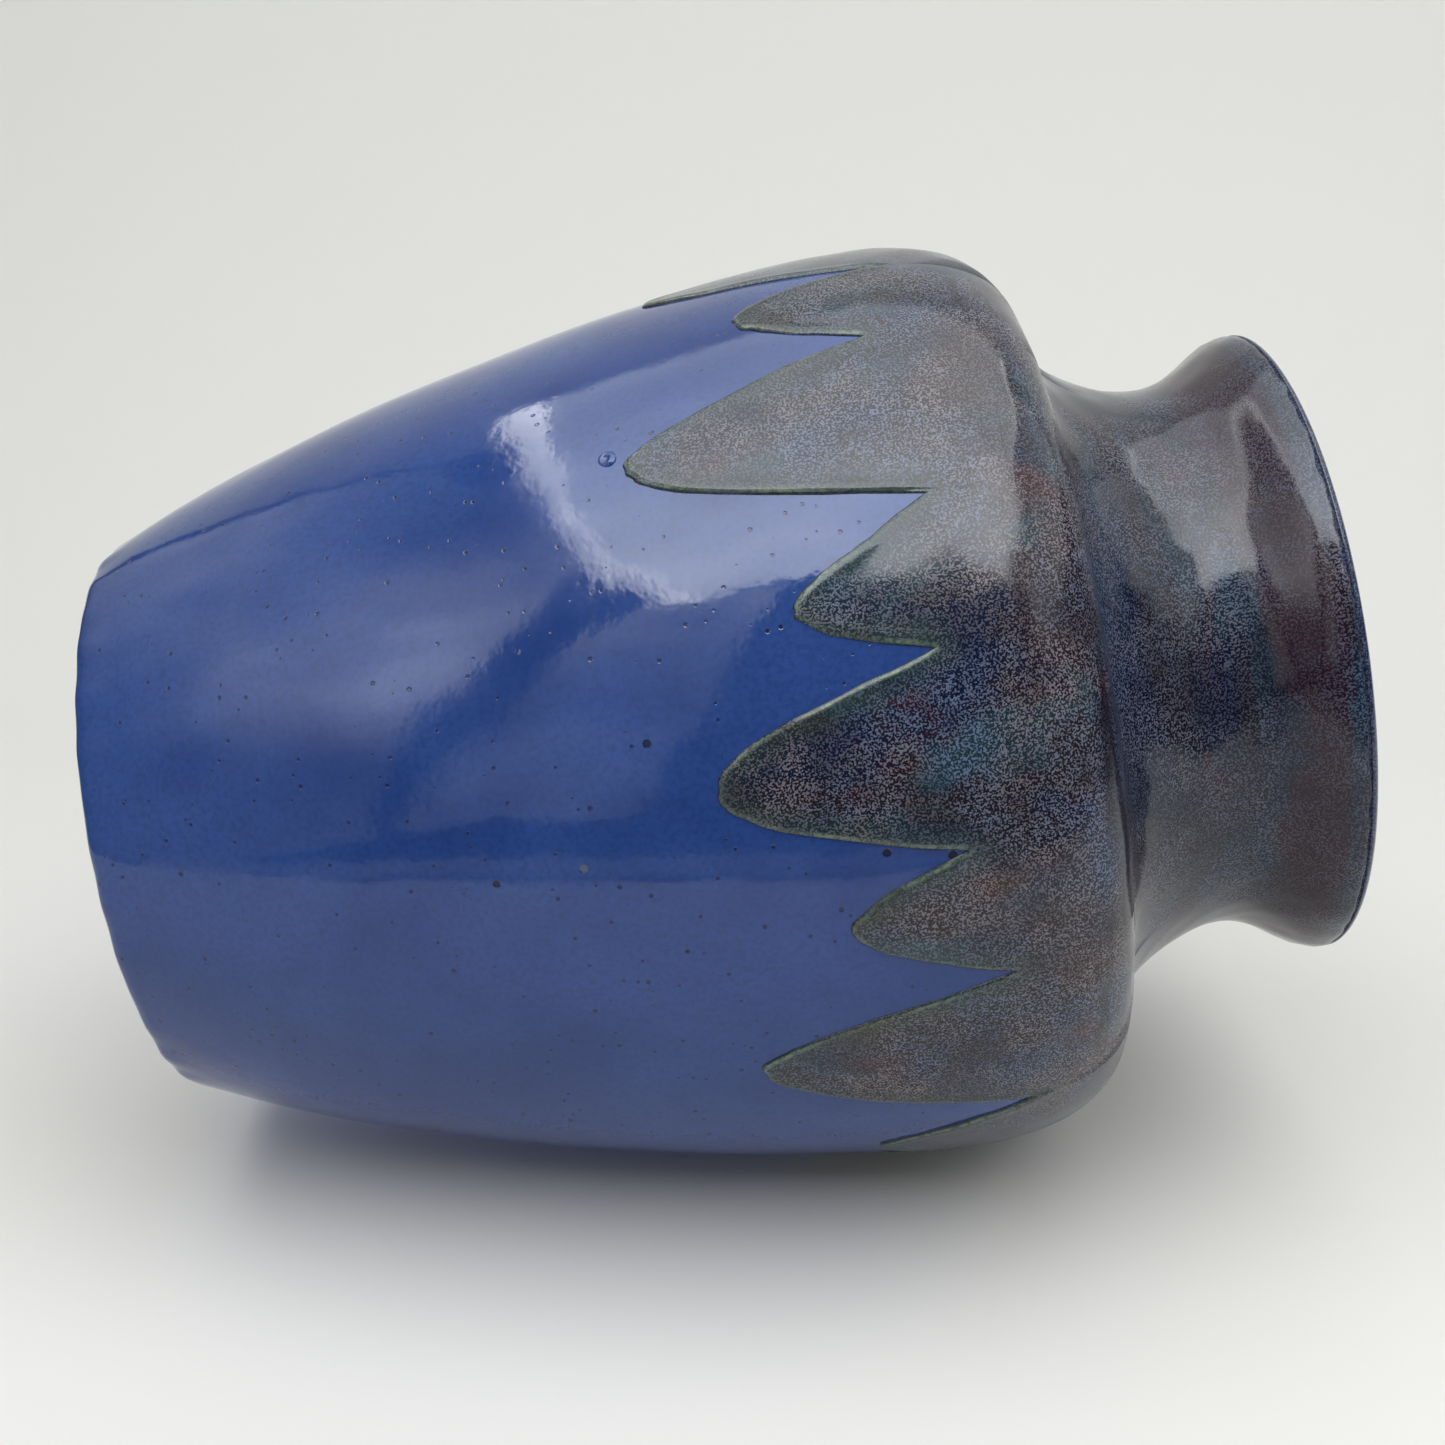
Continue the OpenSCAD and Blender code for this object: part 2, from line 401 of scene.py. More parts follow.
def make_mottled():
    """The mottled overglaze: its lower edge hangs in tongues, rounded over and thickest near the tips."""
    theta, z_edge = tongue_outline()
    s_edge = outside.s_at_height(z_edge)
    top_wave = ripples(31, (0.006, 0.02), (0.01, 0.02), 10)
    s_top = LIP_S - 0.35 * MM + 0.25 * MM * top_wave(theta, 0)
    near = np.array([0, 0.1, 0.25, 0.45, 0.7, 1.0, 1.4, 1.9, 2.5, 3.2, 4.0, 5.0]) * MM
    far = np.linspace(0, 1, 48) ** 1.1
    start = s_edge + near[-1]
    end = s_top - near[6]
    rows = [s_edge + d for d in near]
    rows += [start + (end - start) * f for f in far[1:]]
    rows += [s_top - d for d in near[5::-1]]
    s = np.array(rows)
    distance = edge_distance(theta, s, theta, s_edge)
    top = np.maximum(s_top - s, 0)
    swell = ripples(32, (0.008, 0.03), (0.012, 0.04), 12)
    thick = OVERGLAZE_T * (0.80 + 0.13 * swell(theta, s))

    def rounded(d, width):
        """A quarter round: 0 at the edge, 1 from width inwards."""
        d = np.clip(d / width, 0, 1)
        return np.sqrt(np.maximum(1 - (1 - d) ** 2, 0))

    bead = 0.10 * MM * np.exp(-((distance - 1.3 * MM) / (0.9 * MM)) ** 2)
    cover = rounded(distance, 0.9 * MM) * rounded(top, 4 * MM)
    depth = form(theta, s) + (thick + bead) * cover - OVERGLAZE_SINK
    r, z = outside.at(s, depth)
    outer = turn(theta, r, z)
    low, high = float(s_edge.min()), float(s_top.mean())
    back = ((hidden_rows(low, high) - low) / (high - low))[:, None]
    back_s = s_edge + (s_top - s_edge) * back
    r, z = outside.at(back_s, np.full(back_s.shape, -GLAZE_BACK))
    piece = ring_mesh("mottled_overglaze", np.concatenate([outer, turn(theta, r, z)]), loop=True)
    hidden = np.zeros(back_s.shape)
    far_off = 30 * MM
    add_values(piece, "edge", np.concatenate([np.minimum(distance, far_off), hidden]) / MM)
    add_values(piece, "top", np.concatenate([np.minimum(top, far_off), hidden]) / MM)
    return piece


def inside_path():
    """The finished inside from the axis, over the floor and up the wall, to the crest of the lip."""
    def inner(points, normals):
        """The inner face of the wall behind a stretch of the outside."""
        return points - WALL * normals, -normals

    wall = inner(*sample(WALL_CURVE, 0.1, 1, 300))
    shoulder = inner(*sample(SHOULDER_CURVE, 0, 1, 200))
    hollow = inner(*sample(HOLLOW_CURVE, 0, 1, 160))
    throat, throat_n = sample(THROAT_CURVE, 0, 1, 160)
    up = wall[0][0]
    edge = up[0] - 7 * MM
    corner = curve(
        (edge, FLOOR_Z),
        (edge + 4.5 * MM, FLOOR_Z),
        (up[0] - 1.2 * MM, up[1] - 3 * MM),
        up,
    )
    corner_p, corner_n = sample(corner, 0, 1, 60)
    floor_r = np.linspace(0, edge, 40)
    floor_p = np.stack([floor_r, np.full(40, FLOOR_Z)], axis=1)
    floor_n = np.tile([0.0, 1.0], (40, 1))
    return Path([
        (floor_p, floor_n),
        (corner_p, -corner_n),
        wall,
        shoulder,
        hollow,
        (throat[::-1], throat_n[::-1]),
    ])


def make_liner():
    """The glaze inside, over the crest and down to the widest line of the lip, on spiral throwing rings."""
    columns = 360
    theta = all_round(columns)
    path = inside_path()
    s = np.linspace(AXIS_GAP, path.length, 190)[:, None]
    rings = np.sin(FULL_TURN * s / (7.5 * MM) - theta)
    below_lip = np.clip((path.length - s) / (25 * MM), 0, 1)
    off_axis = np.clip(s / (12 * MM), 0, 1)
    rings = 0.16 * MM * rings * below_lip * off_axis
    r, z = path.at(np.broadcast_to(s, rings.shape), rings - LINER_SINK)
    inner = turn(theta, r, z)
    over, over_n = sample(CREST_CURVE, 1, 0, 14)
    lip_s = np.linspace(0, 1, 14)[:, None]
    lip_wave = 0.1 * MM * thrown(theta, LIP_S)
    over_r = over[:, :1] + lip_wave * over_n[:, :1] * lip_s
    over_z = over[:, 1:] + lip_wave * over_n[:, 1:] * lip_s
    crest = turn(theta, over_r, np.minimum(over_z, HEIGHT))
    back, back_n = sample(CREST_CURVE, 0, 1, 8)
    back = back - GLAZE_BACK * back_n
    behind = turn(theta, back[:, :1], back[:, 1:])
    s = np.linspace(path.length, AXIS_GAP, 60)[:, None]
    r, z = path.at(np.broadcast_to(s, (60, columns)), -GLAZE_BACK)
    hidden = turn(theta, r, z)
    places = np.concatenate([inner, crest[1:], behind, hidden[1:]])
    poles = (FLOOR_Z - LINER_SINK, FLOOR_Z - GLAZE_BACK)
    return ring_mesh("liner_glaze", places[:, ::-1], poles=poles)


def make_body():
    """The clay: the whole closed wall, with the ring it stands on bare, trimmed and a little worn."""
    columns = 480
    theta = all_round(columns)
    glaze_end = outside.at(0.0, 0.0)
    ring = [
        (RECESS_R * f, RECESS_Z) for f in (0.02, 0.25, 0.5, 0.75, 0.93)
    ] + [
        (RECESS_R - 0.2 * MM, RECESS_Z),
        (RECESS_R + 0.05 * MM, RECESS_Z - 0.9 * MM),
        (RECESS_R + 0.3 * MM, 1.2 * MM),
        (RECESS_R + 0.7 * MM, 0.55 * MM),
        (RECESS_R + 1.2 * MM, 0.18 * MM),
    ]
    flat = np.linspace(RECESS_R + 1.8 * MM, glaze_end[0] - 0.7 * MM, 26)
    ring += [(r, 0.0) for r in flat]
    ring += [(glaze_end[0] - 0.25 * MM, 0.05 * MM), (glaze_end[0], 0.18 * MM)]
    r = np.array([p[0] for p in ring])[:, None]
    z = np.array([p[1] for p in ring])[:, None]
    on_ring = np.clip((r - RECESS_R) / MM, 0, 1)
    grooves = np.abs(np.sin(FULL_TURN * r / (1.7 * MM) + 0.6 * np.sin(theta)))
    grit = ripples(41, (0.0018, 0.006), (0.0015, 0.005), 18)(theta, r)
    rough = (0.06 * MM * (1 - grooves) + 0.05 * MM * (1 + grit) / 2) * on_ring
    rough = rough * (np.abs(z) < 0.2 * MM)
    wide = ripples(42, (0.02, 0.08), (0.02, 0.08), 8)(theta, r)
    inner_edge = np.exp(-((r - RECESS_R - 1 * MM) / (1.2 * MM)) ** 2)
    r_all = r + 0.25 * MM * wide * inner_edge
    z_all = z + rough
    under = turn(theta, r_all, z_all)
    s = hidden_rows(0, LIP_S)[-2::-1, None]
    r, z = outside.at(np.broadcast_to(s, (len(s), columns)), -CLAY_BACK)
    outer = turn(theta, r, z)
    path = inside_path()
    crest, crest_n = sample(CREST_CURVE, 0, 1, 6)
    crest = crest - CLAY_BACK * crest_n
    over = turn(theta, crest[:, :1], crest[:, 1:])
    s = np.linspace(path.length, AXIS_GAP, 60)[:, None]
    r, z = path.at(np.broadcast_to(s, (60, columns)), -CLAY_BACK)
    inner = turn(theta, r, z)
    places = np.concatenate([under, outer, over, inner])
    return ring_mesh("clay_body", places, poles=(RECESS_Z, FLOOR_Z - CLAY_BACK))


def make_foot_glaze():
    """The glaze pooled in the recess of the foot, climbing a little at its rim."""
    columns = 320
    theta = all_round(columns)
    flat = np.linspace(AXIS_GAP, RECESS_R - 2.2 * MM, 46)
    climb = RECESS_R - np.array([1.6, 1.1, 0.7, 0.4, 0.2, 0.05]) * MM
    r = np.r_[flat, climb][:, None]
    rim = np.clip((r - RECESS_R + 2.4 * MM) / (2.4 * MM), 0, 1)
    spiral = 0.07 * MM * np.sin(FULL_TURN * r / (5.5 * MM) - theta) * np.clip(r / (8 * MM), 0, 1)
    uneven = 0.05 * MM * ripples(51, (0.006, 0.02), (0.006, 0.02), 10)(theta, r)
    into_clay = 0.1 * MM
    z = RECESS_Z - GLAZE_T + (spiral + uneven) * (1 - rim) - 0.55 * MM * rim ** 2 + into_clay
    low = turn(theta, r, z)
    back_r = np.array([RECESS_R, RECESS_R - 1 * MM, RECESS_R * 0.5, AXIS_GAP])[:, None]
    high = turn(theta, back_r, RECESS_Z + into_clay)
    places = np.concatenate([low, high])
    poles = (RECESS_Z - GLAZE_T + into_clay, RECESS_Z + into_clay)
    return ring_mesh("foot_glaze", places, poles=poles)


BLISTER_ANGLE, BLISTER_Z = -34.6, 0.4495 * HEIGHT


def make_blister():
    """A burst bubble in the blue glaze, just below the tip of the longest tongue: a ring with a dimple."""
    rings = np.array([0.15, 0.35, 0.55, 0.75, 0.95, 1.15, 1.35, 1.6]) * MM
    raised = np.array([0.02, 0.05, 0.17, 0.30, 0.33, 0.25, 0.10, -0.05]) * MM
    theta = all_round(40)
    depth = -0.3 * MM
    top = turn(theta, rings[:, None], raised[:, None] + 0.03 * MM * np.sin(2 * theta))
    under = turn(theta, rings[:, None], depth)
    piece = ring_mesh("glaze_blister", np.concatenate([under, top[::-1]]), poles=(depth, 0.0))
    angle = math.radians(BLISTER_ANGLE)
    s = outside.s_at_height(BLISTER_Z)
    (r, z), (r2, z2) = outside.at(s, -BLUE_SINK), outside.at(s + MM)
    along = Vector(((r2 - r) * math.cos(angle), (r2 - r) * math.sin(angle), z2 - z)).normalized()
    around = Vector((-math.sin(angle), math.cos(angle), 0))
    out = around.cross(along)
    place = Matrix((around, along, out)).transposed().to_4x4()
    place.translation = Vector((r * math.cos(angle), r * math.sin(angle), z))
    piece.data.transform(place)
    return piece


# ---------------------------------------------------------------- materials

def srgb(r, g, b):
    """A linear colour from 0-255 screen values."""
    def linear(v):
        v /= 255
        return v / 12.92 if v <= 0.04045 else ((v + 0.055) / 1.055) ** 2.4
    return (linear(r), linear(g), linear(b), 1.0)


class Nodes:
    """A material, and short ways to add nodes to it."""

    def __init__(self, name):
        self.material = bpy.data.materials.new(name)
        self.material.use_nodes = True
        self.tree = self.material.node_tree
        self.tree.nodes.clear()
        self.place = self.add("ShaderNodeTexCoord").outputs["Object"]

    def add(self, kind, **settings):
        """A new node with its settings."""
        node = self.tree.nodes.new(kind)
        for key, value in settings.items():
            setattr(node, key, value)
        return node

    def put(self, socket, value):
        """Links an output to the socket, or sets its number or colour."""
        if isinstance(value, bpy.types.NodeSocket):
            self.tree.links.new(value, socket)
        else:
            socket.default_value = value

    def math(self, operation, a, b=0.0):
        """One sum with two numbers."""
        node = self.add("ShaderNodeMath", operation=operation)
        self.put(node.inputs[0], a)
        self.put(node.inputs[1], b)
        return node.outputs[0]

    def vector(self, operation, a, b):
        """One sum with two vectors."""
        node = self.add("ShaderNodeVectorMath", operation=operation)
        self.put(node.inputs[0], a)
        self.put(node.inputs[1], b)
        return node

    def shift(self, vector, by):
        """A place moved by a fixed amount."""
        return self.vector("ADD", vector, by).outputs[0]

    def stretch(self, vector, by):
        """A place scaled along each axis. A share under 1 draws the noise out along that axis."""
        return self.vector("MULTIPLY", vector, by).outputs[0]

    def height(self):
        """The height over the foot's base."""
        node = self.add("ShaderNodeSeparateXYZ")
        self.put(node.inputs[0], self.place)
        return node.outputs["Z"]

    def noise(self, size, detail=2.0, rough=0.5, warp=0.0, vector=None, offset=None):
        """Noise from 0 to 1 whose features are about size metres across."""
        node = self.add("ShaderNodeTexNoise")
        vector = vector or self.place
        if offset is not None:
            vector = self.shift(vector, offset)
        self.put(node.inputs["Vector"], vector)
        node.inputs["Scale"].default_value = 1 / size
        node.inputs["Detail"].default_value = detail
        node.inputs["Roughness"].default_value = rough
        node.inputs["Distortion"].default_value = warp
        return node.outputs[0]

    def smooth(self, value, low, high, start=0.0, end=1.0):
        """Goes smoothly from start to end while value goes from low to high."""
        node = self.add("ShaderNodeMapRange", interpolation_type="SMOOTHSTEP")
        self.put(node.inputs["Value"], value)
        self.put(node.inputs["From Min"], low)
        self.put(node.inputs["From Max"], high)
        self.put(node.inputs["To Min"], start)
        self.put(node.inputs["To Max"], end)
        return node.outputs[0]

    def mix(self, share, a, b):
        """The colour a where share is 0, and b where it is 1."""
        node = self.add("ShaderNodeMix", data_type="RGBA", blend_type="MIX")
        self.put(node.inputs["Factor"], share)
        self.put(node.inputs[6], a)
        self.put(node.inputs[7], b)
        return node.outputs[2]

    def value(self, name):
        """A number stored on the mesh's vertices."""
        return self.add("ShaderNodeAttribute", attribute_name=name).outputs["Fac"]

    def grains(self):
        """The fine worm-like grains of the mottled glaze, from 0 to 1."""
        return self.smooth(self.noise(0.00031, 0.6, 0.4, 0.35), 0.47, 0.60)

    def specks(self, spacing, size, offset=(0, 0, 0)):
        """Scattered round specks, 1 at their middles, of uneven size."""
        node = self.add("ShaderNodeTexVoronoi")
        self.put(node.inputs["Vector"], self.shift(self.place, offset))
        node.inputs["Scale"].default_value = 1 / spacing
        tint = self.add("ShaderNodeSeparateColor")
        self.put(tint.inputs[0], node.outputs["Color"])
        radius = self.math("MULTIPLY", self.math("POWER", tint.outputs[0], 2.0), size / spacing)
        inner = self.math("MULTIPLY", radius, 0.55)
        return self.smooth(node.outputs["Distance"], inner, radius, 1, 0)

    def spot(self, angle, height, radius):
        """A soft round spot on the outside, at an angle in degrees and a height in metres."""
        r, z = outside.at(outside.s_at_height(height))
        theta = math.radians(angle)
        centre = (float(r) * math.cos(theta), float(r) * math.sin(theta), float(z))
        node = self.vector("DISTANCE", self.place, centre)
        return self.smooth(node.outputs["Value"], radius * 0.6, radius, 1, 0)

    def bump(self, height, depth, normal=None):
        """height from 0 to 1 stands for depth metres."""
        node = self.add("ShaderNodeBump")
        node.inputs["Distance"].default_value = depth
        self.put(node.inputs["Height"], height)
        if normal is not None:
            self.put(node.inputs["Normal"], normal)
        return node.outputs[0]

    def finish(self, colour, roughness, normal, **fixed):
        """Joins it all in one shader. The fixed values are the same all over."""
        shader = self.add("ShaderNodeBsdfPrincipled")
        self.put(shader.inputs["Base Color"], colour)
        self.put(shader.inputs["Roughness"], roughness)
        self.put(shader.inputs["Normal"], normal)
        for name, value in fixed.items():
            shader.inputs[name.replace("_", " ")].default_value = value
        out = self.add("ShaderNodeOutputMaterial")
        self.put(out.inputs["Surface"], shader.outputs[0])
        return self.material


PALE_COOL, PALE_WARM = srgb(116, 132, 164), srgb(148, 140, 148)

# Both are a little under real glaze, about 1.5, because the real vase reflects its floor weakly
BLUE_IOR, MOTTLED_IOR = 1.46, 1.42

# Larger pinholes in the blue and one tan stain: angle in degrees, share of the height, radius in mm
PINHOLES = (
    (0.5, 0.450, 0.75),
    (14.6, 0.324, 0.7),
    (15.7, 0.606, 0.8),
    (16.9, 0.652, 0.9),
)
STAIN = (13.7, 0.390, 0.8)


def blue_material(name, deep, bright, marks=()):
    """Glossy blue glaze: cloudy colour, fine dark specks, pinholes and a slight orange peel.
    It is dull and grainy at the top of the lip, where the mottled glaze has run into it."""
    n = Nodes(name)
    clouds = n.noise(0.030, 3, 0.55, 0.3)
    grain = n.noise(0.0009, 2, 0.6)
    colour = n.mix(n.smooth(clouds, 0.3, 0.7), deep, bright)
    darker = tuple(0.55 * c for c in deep[:3]) + (1,)
    colour = n.mix(n.smooth(grain, 0.35, 0.75, 0.0, 0.35), colour, darker)
    fine = n.specks(0.0020, 0.0005)
    large = n.specks(0.0090, 0.0008, (0.3, 0.1, 0.2))
    dark = n.math("MAXIMUM", n.math("MULTIPLY", fine, 0.75), large)
    for angle, height, radius in marks:
        dark = n.math("MAXIMUM", dark, n.spot(angle, height * HEIGHT, radius * MM))
    at_rim = n.smooth(n.height(), 0.945 * HEIGHT, 0.960 * HEIGHT)
    dull = n.mix(n.math("MULTIPLY", n.grains(), 0.35), srgb(34, 38, 62), PALE_COOL)
    colour = n.mix(at_rim, colour, dull)
    colour = n.mix(dark, colour, srgb(14, 18, 44))
    if marks:
        angle, height, radius = STAIN
        stain = n.spot(angle, height * HEIGHT, radius * MM)
        colour = n.mix(n.math("MULTIPLY", stain, 0.4), colour, srgb(110, 108, 84))
    peel = n.noise(0.0032, 2, 0.5)
    ripple = n.noise(0.0012, 1, 0.5)
    height = n.math("ADD", n.math("MULTIPLY", peel, 0.7), n.math("MULTIPLY", ripple, 0.24))
    normal = n.bump(height, 0.035 * MM)
    normal = n.bump(n.math("SUBTRACT", 1, dark), 0.05 * MM, normal)
    roughness = n.smooth(n.noise(0.012, 3, 0.6), 0.3, 0.7, 0.07, 0.12)
    return n.finish(colour, roughness, normal, IOR=BLUE_IOR)


def mottled_material():
    """The mottled overglaze: dark patches of purple-brown, navy and teal under pale worm-like grains."""
    n = Nodes("mottled_glaze")
    edge, top, z = n.value("edge"), n.value("top"), n.height()
    round_the_pot = n.stretch(n.place, (0.38, 0.38, 1.25))
    down_the_pot = n.stretch(n.place, (1.0, 1.0, 0.5))
    on_neck = n.smooth(z, 0.75 * HEIGHT, 0.82 * HEIGHT)
    brown, navy, teal, red = srgb(33, 26, 32), srgb(17, 24, 47), srgb(31, 53, 64), srgb(50, 20, 26)

    def drawn(size, offset):
        """Noise that is drawn out down the tongues, and round the neck."""
        low = n.noise(1.1 * size, 3, 0.6, 0.4, vector=down_the_pot, offset=offset)
        high = n.noise(size, 3, 0.6, 0.4, vector=round_the_pot, offset=offset)
        return n.smooth(on_neck, 0, 1, low, high)

    colour = n.mix(n.smooth(drawn(0.016, (0, 0, 0)), 0.47, 0.61), brown, navy)
    colour = n.mix(n.smooth(drawn(0.012, (0.4, 0, 0.1)), 0.50, 0.68, 0, 0.85), colour, teal)
    warm = drawn(0.011, (0, 0.7, 0.3))
    lip_low = n.smooth(z, 0.915 * HEIGHT, 0.945 * HEIGHT)
    lip_high = n.smooth(z, 0.965 * HEIGHT, 0.985 * HEIGHT, 1, 0)
    on_lip = n.math("MULTIPLY", lip_low, lip_high)
    warm = n.math("ADD", warm, n.math("MULTIPLY", on_lip, 0.27))
    colour = n.mix(n.smooth(warm, 0.56, 0.72), colour, red)
    colour = n.mix(n.math("MULTIPLY", on_neck, 0.42), colour, srgb(9, 18, 36))
    # dark lines drawn round the shoulder and its hollow by the wheel
    lines = n.noise(0.0042, 2, 0.6, vector=n.stretch(n.place, (0.10, 0.10, 1.0)))
    above_belly = n.smooth(z, 0.70 * HEIGHT, 0.75 * HEIGHT)
    below_waist = n.smooth(z, 0.80 * HEIGHT, 0.86 * HEIGHT, 1, 0)
    on_hollow = n.math("MULTIPLY", above_belly, below_waist)
    lines = n.math("MULTIPLY", n.smooth(lines, 0.54, 0.66), on_hollow)
    colour = n.mix(n.math("MULTIPLY", lines, 0.7), colour, srgb(22, 16, 24))
    # pale grains, thinner in places, in the dark lines, on the neck and on the lip
    worms = n.grains()
    thin = n.smooth(n.noise(0.011, 3, 0.6, offset=(0.1, 0.5, 0)), 0.35, 0.6, 0.45, 1.0)
    off_lines = n.math("SUBTRACT", 1, n.math("MULTIPLY", lines, 0.6))
    worms = n.math("MULTIPLY", n.math("MULTIPLY", worms, thin), off_lines)
    warm_grains = n.smooth(n.noise(0.02, 2), 0.4, 0.6)
    warm_grains = n.math("MULTIPLY", warm_grains, n.smooth(on_neck, 0, 1, 1.0, 0.5))
    pale = n.mix(warm_grains, PALE_COOL, PALE_WARM)
    share = n.math("MULTIPLY", worms, n.smooth(on_neck, 0, 1, 0.52, 0.36))
    share = n.math("MULTIPLY", share, n.smooth(on_lip, 0, 1, 1.0, 0.6))
    colour = n.mix(share, colour, pale)
    # a greener edge with a paler, broken band, and a dark line where it meets the blue
    blotch = n.smooth(n.noise(0.0011, 2, 0.6), 0.38, 0.58, 0.25, 1.0)
    stretch = n.smooth(n.noise(0.012, 2, 0.5, offset=(0.9, 0.2, 0)), 0.40, 0.60, 0.25, 1.0)
    near = n.smooth(edge, 0.8, 5.5, 0.40, 0.0)
    colour = n.mix(near, colour, srgb(46, 64, 58))
    band = n.math("MULTIPLY", n.smooth(edge, 0.20, 0.38), n.smooth(edge, 0.5, 1.1, 1, 0))
    band = n.math("MULTIPLY", n.math("MULTIPLY", band, blotch), stretch)
    colour = n.mix(band, colour, srgb(98, 116, 98))
    foot_line = n.math("MULTIPLY", n.smooth(edge, 0.10, 0.30, 0.7, 0), stretch)
    colour = n.mix(foot_line, colour, srgb(24, 34, 40))
    colour = n.mix(n.smooth(top, 0.1, 0.5, 0.3, 0), colour, srgb(70, 76, 90))
    peel = n.noise(0.003, 2, 0.5)
    height = n.math("ADD", n.math("MULTIPLY", peel, 0.5), n.math("MULTIPLY", worms, 0.18))
    normal = n.bump(height, 0.05 * MM)
    roughness = n.smooth(n.noise(0.010, 3, 0.6), 0.3, 0.7, 0.09, 0.15)
    roughness = n.math("ADD", roughness, n.math("MULTIPLY", worms, 0.06))
    return n.finish(colour, roughness, normal, IOR=MOTTLED_IOR)


def clay_material():
    """Bare fired stoneware: sandy and cloudy in tone, with dark iron specks and open pores."""
    n = Nodes("clay")
    colour = n.mix(n.smooth(n.noise(0.014, 4, 0.6), 0.3, 0.7), srgb(176, 150, 120), srgb(150, 122, 94))
    colour = n.mix(n.smooth(n.noise(0.0006, 2, 0.6), 0.4, 0.7, 0, 0.5), colour, srgb(206, 186, 158))
    iron = n.specks(0.0024, 0.0009)
    colour = n.mix(iron, colour, srgb(70, 46, 34))
    pores = n.specks(0.0018, 0.0006, (0.2, 0.2, 0.2))
    sand = n.noise(0.0007, 3, 0.7)
    normal = n.bump(sand, 0.12 * MM)
    normal = n.bump(n.math("SUBTRACT", 1, pores), 0.15 * MM, normal)
    return n.finish(colour, n.smooth(sand, 0.3, 0.7, 0.72, 0.92), normal)


blue = blue_material("blue_glaze", srgb(35, 60, 120), srgb(46, 73, 135), PINHOLES)
liner_blue = blue_material("liner_glaze", srgb(36, 54, 112), srgb(46, 68, 128))
mottled = mottled_material()
clay = clay_material()

# The pieces of the vase, for the lights that reach only it
vase = bpy.data.collections.new("vase")
for make, node, slot, material in (
    (make_blue, "glaze_blue", "blue_glaze", blue),
    (make_mottled, "glaze_mottled", "mottled_glaze", mottled),
    (make_liner, "glaze_liner", "liner_glaze", liner_blue),
    (make_foot_glaze, "glaze_foot", "liner_glaze", liner_blue),
    (make_body, "body", "clay", clay),
    (make_blister, None, "blue_glaze", blue),
):
    piece = make()
    piece.data.materials.append(material)
    vase.objects.link(piece)
    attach(piece, "root")
    if node:
        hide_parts(node)

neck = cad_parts["neck"]
for neck_slot in neck.material_slots:
    neck_slot.material = clay


# ---------------------------------------------------------------- camera

def rotated(a, b, degrees):
    """Turns two perpendicular unit vectors in their own plane."""
    t = math.radians(degrees)
    return a * math.cos(t) + b * math.sin(t), b * math.cos(t) - a * math.sin(t)


# The vase lies on its side in the picture, so the camera is rolled round a vase that stands here.
# All angles are in degrees.
PAN, TILT, ROLL = -0.548, -0.143, 8.933
LOOK_DOWN = 17
LENS_ANGLE = 39.86
forward, right, down = Vector((-1, 0, 0)), Vector((0, 0, 1)), Vector((0, 1, 0))
forward, right = rotated(forward, right, PAN)
forward, down = rotated(forward, down, TILT)
right, down = rotated(right, down, ROLL)
EYE = Vector((1.785 * HEIGHT, 0, 0.519 * HEIGHT))

camera_data = bpy.data.cameras.new("camera")
camera_data.angle = math.radians(LENS_ANGLE)
camera_data.clip_start, camera_data.clip_end = 0.01, 10
camera = bpy.data.objects.new("camera", camera_data)
camera.matrix_world = Matrix.Translation(EYE) @ Matrix((
    (right.x, -down.x, -forward.x, 0),
    (right.y, -down.y, -forward.y, 0),
    (right.z, -down.z, -forward.z, 0),
    (0, 0, 0, 1),
))
bpy.context.collection.objects.link(camera)
bpy.context.scene.camera = camera


# ---------------------------------------------------------------- the room the vase lies in

# The room's own directions: level and towards the camera, and straight up
look_down = math.radians(LOOK_DOWN)
toward = -(forward * math.cos(look_down) - down * math.sin(look_down))
up = -down * math.cos(look_down) - forward * math.sin(look_down)
MIDDLE = Vector((0, 0, HEIGHT / 2))


def lowest(direction):
    """How far the vase reaches against a direction from the middle of its height."""
    r, z = outside.place[:, 0], outside.place[:, 1]
    side = math.hypot(direction.x, direction.y)
    return float(np.min((z - MIDDLE.z) * direction.z - r * side))


FLOOR = lowest(up) - OVERGLAZE_T


def room(x, y, z):
    """A place from its distances to the right, up and towards the camera."""
    return MIDDLE + right * x + up * y + toward * z


def stage_material():
    """Plain pale paper. It is not seen from behind, so a view from behind the floor isn't blocked."""
    n = Nodes("paper")
    shader = n.add("ShaderNodeBsdfDiffuse")
    shader.inputs["Color"].default_value = (0.82, 0.82, 0.80, 1)
    clear = n.add("ShaderNodeBsdfTransparent")
    behind = n.add("ShaderNodeNewGeometry").outputs["Backfacing"]
    pick = n.add("ShaderNodeMixShader")
    n.put(pick.inputs[0], behind)
    n.put(pick.inputs[1], shader.outputs[0])
    n.put(pick.inputs[2], clear.outputs[0])
    out = n.add("ShaderNodeOutputMaterial")
    n.put(out.inputs["Surface"], pick.outputs[0])
    return n.material


SWEEP_FRONT, SWEEP_BACK, SWEEP_BEND, SWEEP_TOP = 0.25, -0.45, 0.22, 1.05
SWEEP_LEFT, LEFT_LEAN, SWEEP_RIGHT = -0.38, 0.26, 0.9
BEND_STEPS = 16


def sweep_left(y):
    """Where the sweep's left edge is at the height y."""
    return SWEEP_LEFT - LEFT_LEAN * (y - FLOOR)


